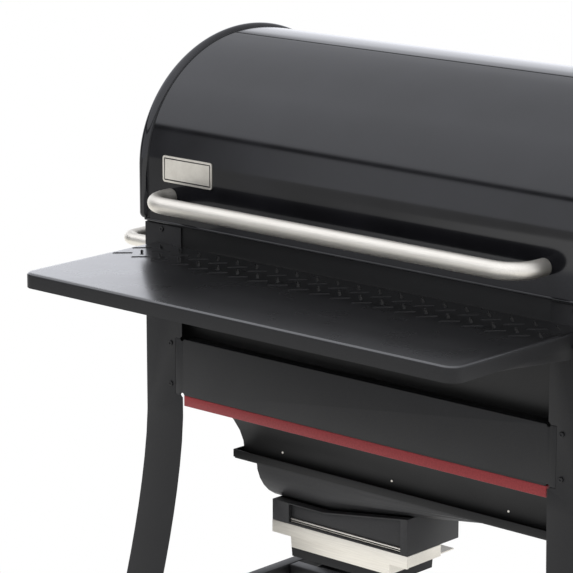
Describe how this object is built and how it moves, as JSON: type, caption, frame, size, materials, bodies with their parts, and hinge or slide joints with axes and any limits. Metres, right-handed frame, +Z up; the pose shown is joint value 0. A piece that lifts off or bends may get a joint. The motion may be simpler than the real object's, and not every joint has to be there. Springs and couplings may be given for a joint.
{
  "type": "pellet smoker grill",
  "caption": "Free-standing pellet smoker grill: barrel lid over a tapered cookbox on a splayed cart, with folding front shelf, side table, ash drawer, pellet hopper and casters.",
  "frame": {"origin": "middle of the whole part's footprint, on the floor", "axes": "+Z up, +X to the right as seen from the front, +Y to the back"},
  "size_m": [1.3602, 1.0154, 1.192],
  "materials": {
    "powder_coat": "charcoal fine-grain powder coat",
    "enamel": "glossy black porcelain enamel",
    "red_paint": "satin red paint",
    "stainless": "satin stainless steel",
    "cast_iron": "seasoned cast iron",
    "plastic": "moulded black plastic",
    "display_glass": "dark glossy window",
    "rubber": "dark grey rubber tread"
  },
  "bodies": {
    "cart": {"leg_front_left": "powder_coat", "leg_front_right": "powder_coat", "leg_rear_left": "powder_coat", "leg_rear_right": "powder_coat", "front_apron": "powder_coat", "rear_apron": "powder_coat", "red_trim_strip": "red_paint", "lower_rail_left": "powder_coat", "lower_rail_right": "powder_coat", "lower_cross_rail": "powder_coat", "cookbox": "enamel", "funnel": "enamel", "drawer_housing": "powder_coat", "pan_runner_left": "stainless", "pan_runner_right": "stainless", "cooking_grate_left": "cast_iron", "cooking_grate_right": "cast_iron", "heat_baffle_1": "powder_coat", "heat_baffle_2": "powder_coat", "heat_baffle_3": "powder_coat", "heat_baffle_4": "powder_coat", "burn_pot": "cast_iron", "igniter_rod": "stainless", "lid_hinge_bracket_left": "powder_coat", "lid_hinge_bracket_right": "powder_coat", "shelf_bracket_left": "powder_coat", "shelf_bracket_right": "powder_coat", "side_handle": "stainless", "side_table": "powder_coat", "controller_case": "plastic", "display": "display_glass", "pellet_hopper": "powder_coat", "auger_tube": "stainless", "auger_motor": "plastic", "fan_housing": "plastic"},
    "lid": {"lid_skin": "enamel", "lid_end_left": "enamel", "lid_end_right": "enamel", "lid_handle": "stainless", "name_plate": "stainless"},
    "shelf": {"front_shelf": "powder_coat"},
    "drawer": {"ash_drawer": "powder_coat", "drawer_lip": "stainless"},
    "pan": {"grease_pan": "stainless"},
    "pellet_lid": {"hopper_lid": "powder_coat"},
    "auger": {"feed_auger": "stainless"},
    "fan": {"fan_wheel": "plastic"},
    "knob": {"control_knob": "stainless"},
    "button": {"power_button": "stainless"},
    "caster_front_left": {"caster_fork_front_left": "powder_coat"},
    "caster_front_right": {"caster_fork_front_right": "powder_coat"},
    "caster_rear_left": {"caster_fork_rear_left": "powder_coat"},
    "caster_rear_right": {"caster_fork_rear_right": "powder_coat"},
    "wheel_front_left": {"caster_wheel_front_left": "rubber"},
    "wheel_front_right": {"caster_wheel_front_right": "rubber"},
    "wheel_rear_left": {"caster_wheel_rear_left": "rubber"},
    "wheel_rear_right": {"caster_wheel_rear_right": "rubber"},
    "brake_front_left": {"brake_lever_front_left": "plastic"},
    "brake_front_right": {"brake_lever_front_right": "plastic"}
  },
  "joints": [
    {"name": "lid_hinge", "type": "hinge", "parent": "cart", "child": "lid", "pos_m": [-0.10265, 0.34835, 0.884], "axis": [-1, 0, 0], "range_deg": [0, 80]},
    {"name": "shelf_fold", "type": "hinge", "parent": "cart", "child": "shelf", "pos_m": [-0.10265, -0.21865, 0.822], "axis": [1, 0, 0], "range_deg": [0, 90]},
    {"name": "ash_drawer_slide", "type": "slide", "parent": "cart", "child": "drawer", "axis": [0, -1, 0], "range_m": [0, 0.09]},
    {"name": "grease_pan_slide", "type": "slide", "parent": "cart", "child": "pan", "axis": [0, -1, 0], "range_m": [0, 0.1]},
    {"name": "hopper_lid_slide", "type": "slide", "parent": "cart", "child": "pellet_lid", "axis": [0, 1, 0], "range_m": [0, 0.15]},
    {"name": "auger_spin", "type": "hinge", "parent": "cart", "child": "auger", "pos_m": [-0.10265, 0.44765, 0.532], "axis": [0, 1, 0], "continuous": true},
    {"name": "fan_spin", "type": "hinge", "parent": "cart", "child": "fan", "pos_m": [-0.07735, 0.30735, 0.532], "axis": [1, 0, 0], "continuous": true},
    {"name": "knob_turn", "type": "hinge", "parent": "cart", "child": "knob", "pos_m": [0.56015, -0.23695, 0.797], "axis": [0, 1, 0], "continuous": true},
    {"name": "power_press", "type": "slide", "parent": "cart", "child": "button", "axis": [0, 1, 0], "range_m": [0, 0.003], "stiffness_N_per_m": 300},
    {"name": "swivel_front_left", "type": "hinge", "parent": "cart", "child": "caster_front_left", "pos_m": [-0.59215, -0.21265, 0.098], "axis": [0, 0, 1], "continuous": true},
    {"name": "swivel_front_right", "type": "hinge", "parent": "cart", "child": "caster_front_right", "pos_m": [0.38685, -0.21265, 0.098], "axis": [0, 0, 1], "continuous": true},
    {"name": "swivel_rear_left", "type": "hinge", "parent": "cart", "child": "caster_rear_left", "pos_m": [-0.59215, 0.34735, 0.098], "axis": [0, 0, 1], "continuous": true},
    {"name": "swivel_rear_right", "type": "hinge", "parent": "cart", "child": "caster_rear_right", "pos_m": [0.38685, 0.34735, 0.098], "axis": [0, 0, 1], "continuous": true},
    {"name": "roll_front_left", "type": "hinge", "parent": "caster_front_left", "child": "wheel_front_left", "pos_m": [-0.59215, -0.18865, 0.038], "axis": [1, 0, 0], "continuous": true},
    {"name": "roll_front_right", "type": "hinge", "parent": "caster_front_right", "child": "wheel_front_right", "pos_m": [0.38685, -0.18865, 0.038], "axis": [1, 0, 0], "continuous": true},
    {"name": "roll_rear_left", "type": "hinge", "parent": "caster_rear_left", "child": "wheel_rear_left", "pos_m": [-0.59215, 0.37135, 0.038], "axis": [1, 0, 0], "continuous": true},
    {"name": "roll_rear_right", "type": "hinge", "parent": "caster_rear_right", "child": "wheel_rear_right", "pos_m": [0.38685, 0.37135, 0.038], "axis": [1, 0, 0], "continuous": true},
    {"name": "brake_front_left_press", "type": "hinge", "parent": "caster_front_left", "child": "brake_front_left", "pos_m": [-0.59215, -0.17735, 0.0892], "axis": [-1, 0, 0], "range_deg": [0, 12]},
    {"name": "brake_front_right_press", "type": "hinge", "parent": "caster_front_right", "child": "brake_front_right", "pos_m": [0.38685, -0.17735, 0.0892], "axis": [-1, 0, 0], "range_deg": [0, 12]}
  ]
}
